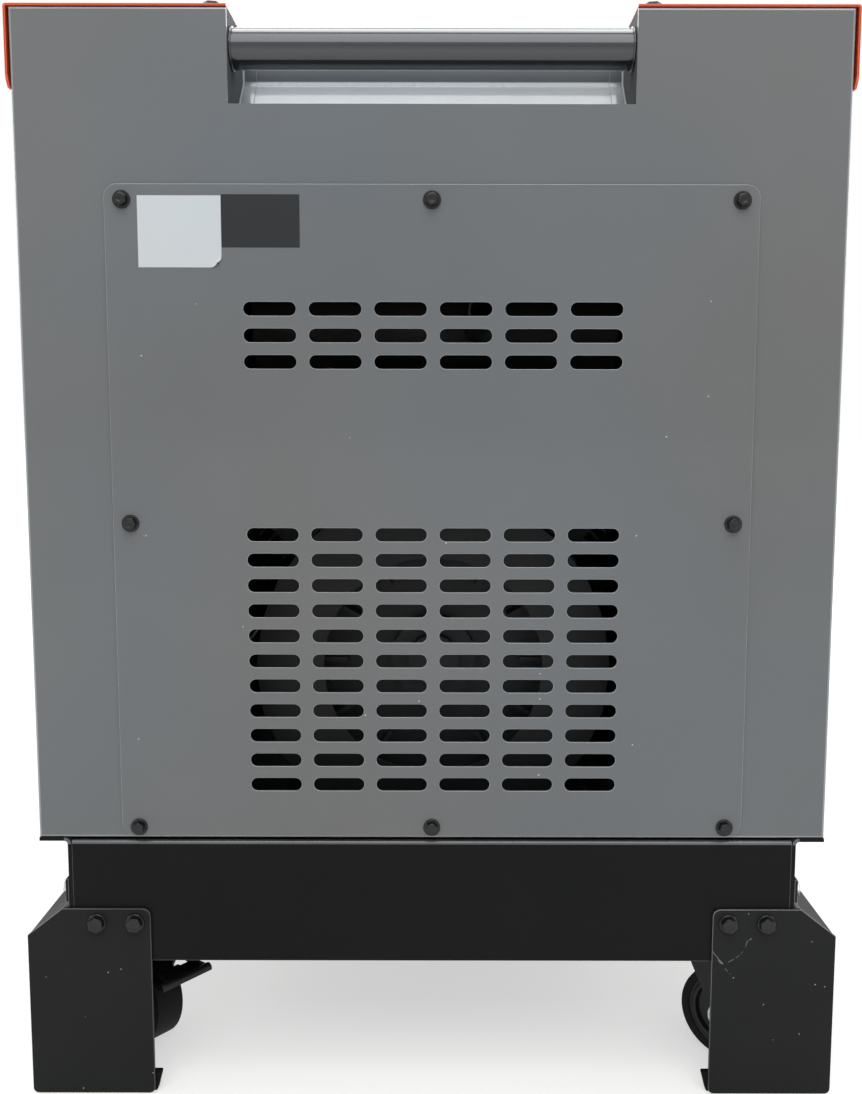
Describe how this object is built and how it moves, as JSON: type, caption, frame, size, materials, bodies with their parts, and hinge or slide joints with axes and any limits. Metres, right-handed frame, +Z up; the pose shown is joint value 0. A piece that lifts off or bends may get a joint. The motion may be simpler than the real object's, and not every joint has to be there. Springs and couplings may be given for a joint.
{
  "type": "engine driven welder",
  "caption": "Enclosed engine-driven power set: grey sheet-metal canopy, orange hood, black skid base on bolted stands with swivel casters.",
  "frame": {"origin": "centre of the footprint on the floor, under the stands", "axes": "+Z up, +Y along the length towards the control end, +X to the right as seen from the ventilated rear end"},
  "size_m": [0.726, 1.1706, 0.9626],
  "materials": {
    "grey_paint": "semi-gloss grey enamel on sheet steel",
    "orange_paint": "semi-gloss orange enamel on sheet steel",
    "base_black": "satin black paint on steel plate",
    "stand_black": "fine matte black powder coat, scratched",
    "caster_steel": "black coated pressed steel",
    "wheel_rubber": "dull black tread and hub",
    "panel_dark_grey": "textured dark grey powder coat",
    "black_plastic": "moulded matte black plastic",
    "red_plastic": "moulded red plastic",
    "blue_plastic": "moulded blue plastic",
    "tank_plastic": "black blow-moulded plastic",
    "battery_case": "ribbed black battery case",
    "cast_aluminium": "as cast, slightly oily",
    "exhaust_steel": "heat-tinted bare steel",
    "machined_steel": "machined steel",
    "key_steel": "nickel-plated key"
  },
  "bodies": {
    "machine": {"left_base_rail": "base_black", "right_base_rail": "base_black", "rear_base_plate": "base_black", "front_base_plate": "base_black", "base_floor": "base_black", "rear_left_stand": "stand_black", "rear_left_caster_plate": "caster_steel", "rear_right_stand": "stand_black", "rear_right_caster_plate": "caster_steel", "front_left_stand": "stand_black", "front_left_caster_plate": "caster_steel", "front_right_stand": "stand_black", "front_right_caster_plate": "caster_steel", "rear_end_panel": "grey_paint", "front_end_panel": "grey_paint", "rear_access_panel": "grey_paint", "rear_handle_pocket": "grey_paint", "front_handle_pocket": "grey_paint", "rear_handle_tube": "grey_paint", "front_handle_tube": "grey_paint", "left_side_panel": "grey_paint", "right_side_panel": "grey_paint", "hood": "orange_paint", "control_panel": "panel_dark_grey", "circuit_breaker": "black_plastic", "three_phase_socket": "red_plastic", "single_phase_socket": "blue_plastic", "fuel_tank": "tank_plastic", "engine_cradle": "base_black", "crankcase": "cast_aluminium", "left_cylinder": "cast_aluminium", "right_cylinder": "cast_aluminium", "blower_housing": "base_black", "alternator_housing": "cast_aluminium", "muffler": "exhaust_steel", "air_cleaner": "black_plastic", "battery": "battery_case"},
    "rear_left_fork": {"rear_left_caster_fork": "caster_steel"},
    "rear_left_wheel": {"rear_left_caster_wheel": "wheel_rubber"},
    "rear_left_pedal": {"rear_left_brake_pedal": "caster_steel"},
    "rear_right_fork": {"rear_right_caster_fork": "caster_steel"},
    "rear_right_wheel": {"rear_right_caster_wheel": "wheel_rubber"},
    "front_left_fork": {"front_left_caster_fork": "caster_steel"},
    "front_left_wheel": {"front_left_caster_wheel": "wheel_rubber"},
    "front_left_pedal": {"front_left_brake_pedal": "caster_steel"},
    "front_right_fork": {"front_right_caster_fork": "caster_steel"},
    "front_right_wheel": {"front_right_caster_wheel": "wheel_rubber"},
    "left_door": {"left_door": "grey_paint"},
    "left_latch": {"left_door_latch": "black_plastic"},
    "right_door": {"right_door": "grey_paint"},
    "right_latch": {"right_door_latch": "black_plastic"},
    "fuel_cap": {"fuel_cap": "black_plastic"},
    "ignition_key": {"ignition_key": "key_steel"},
    "breaker_lever": {"breaker_lever": "black_plastic"},
    "emergency_stop": {"emergency_stop_button": "red_plastic"},
    "three_phase_lid": {"three_phase_socket_lid": "red_plastic"},
    "single_phase_lid": {"single_phase_socket_lid": "blue_plastic"},
    "crank_train": {"crankshaft": "machined_steel", "flywheel_fan": "cast_aluminium", "alternator_rotor": "machined_steel"}
  },
  "joints": [
    {"name": "rear_left_swivel", "type": "hinge", "parent": "machine", "child": "rear_left_fork", "pos_m": [-0.27, -0.5, 0.11], "axis": [0, 0, 1], "continuous": true},
    {"name": "rear_left_wheel_spin", "type": "hinge", "parent": "rear_left_fork", "child": "rear_left_wheel", "pos_m": [-0.28731, -0.48643, 0.049], "axis": [-0.617, -0.7869, 0], "continuous": true},
    {"name": "rear_left_brake_pedal_press", "type": "hinge", "parent": "rear_left_fork", "child": "rear_left_pedal", "pos_m": [-0.26528, -0.5037, 0.0949], "axis": [0.617, 0.7869, 0], "range_deg": [0, 15]},
    {"name": "rear_right_swivel", "type": "hinge", "parent": "machine", "child": "rear_right_fork", "pos_m": [0.27, -0.5, 0.11], "axis": [0, 0, 1], "continuous": true},
    {"name": "rear_right_wheel_spin", "type": "hinge", "parent": "rear_right_fork", "child": "rear_right_wheel", "pos_m": [0.28789, -0.51281, 0.049], "axis": [0.5821, 0.8131, 0], "continuous": true},
    {"name": "front_left_swivel", "type": "hinge", "parent": "machine", "child": "front_left_fork", "pos_m": [-0.27, 0.5, 0.11], "axis": [0, 0, 1], "continuous": true},
    {"name": "front_left_wheel_spin", "type": "hinge", "parent": "front_left_fork", "child": "front_left_wheel", "pos_m": [-0.28033, 0.48058, 0.049], "axis": [0.8829, -0.4695, 0], "continuous": true},
    {"name": "front_left_brake_pedal_press", "type": "hinge", "parent": "front_left_fork", "child": "front_left_pedal", "pos_m": [-0.26718, 0.5053, 0.0949], "axis": [-0.8829, 0.4695, 0], "range_deg": [0, 15]},
    {"name": "front_right_swivel", "type": "hinge", "parent": "machine", "child": "front_right_fork", "pos_m": [0.27, 0.5, 0.11], "axis": [0, 0, 1], "continuous": true},
    {"name": "front_right_wheel_spin", "type": "hinge", "parent": "front_right_fork", "child": "front_right_wheel", "pos_m": [0.28033, 0.48058, 0.049], "axis": [0.8829, 0.4695, 0], "continuous": true},
    {"name": "left_door_hinge", "type": "hinge", "parent": "machine", "child": "left_door", "pos_m": [-0.3565, 0.33, 0.58], "axis": [0, 0, -1], "range_deg": [0, 110]},
    {"name": "left_latch_turn", "type": "hinge", "parent": "left_door", "child": "left_latch", "pos_m": [-0.35, -0.2925, 0.58], "axis": [-1, 0, 0], "range_deg": [0, 90]},
    {"name": "right_door_hinge", "type": "hinge", "parent": "machine", "child": "right_door", "pos_m": [0.3565, 0.33, 0.58], "axis": [0, 0, 1], "range_deg": [0, 110]},
    {"name": "right_latch_turn", "type": "hinge", "parent": "right_door", "child": "right_latch", "pos_m": [0.35, -0.2925, 0.58], "axis": [-1, 0, 0], "range_deg": [0, 90]},
    {"name": "fuel_cap_turn", "type": "hinge", "parent": "machine", "child": "fuel_cap", "pos_m": [-0.16, 0.3, 0.9541], "axis": [0, 0, 1], "range_deg": [0, 90]},
    {"name": "ignition_key_turn", "type": "hinge", "parent": "machine", "child": "ignition_key", "pos_m": [0.17, 0.53, 0.76], "axis": [0, -1, 0], "range_deg": [0, 80]},
    {"name": "breaker_lever_throw", "type": "hinge", "parent": "machine", "child": "breaker_lever", "pos_m": [0, 0.5443, 0.76], "axis": [1, 0, 0], "range_deg": [0, 50]},
    {"name": "emergency_stop_press", "type": "slide", "parent": "machine", "child": "emergency_stop", "axis": [0, -1, 0], "range_m": [0, 0.006], "stiffness_N_per_m": 400},
    {"name": "three_phase_lid_lift", "type": "hinge", "parent": "machine", "child": "three_phase_lid", "pos_m": [0.11, 0.5678, 0.655], "axis": [1, 0, 0], "range_deg": [0, 110], "stiffness_Nm_per_rad": 0.02},
    {"name": "single_phase_lid_lift", "type": "hinge", "parent": "machine", "child": "single_phase_lid", "pos_m": [-0.03, 0.5678, 0.648], "axis": [1, 0, 0], "range_deg": [0, 110], "stiffness_Nm_per_rad": 0.012},
    {"name": "crankshaft_spin", "type": "hinge", "parent": "machine", "child": "crank_train", "pos_m": [0, 0, 0.375], "axis": [0, 1, 0], "continuous": true}
  ]
}
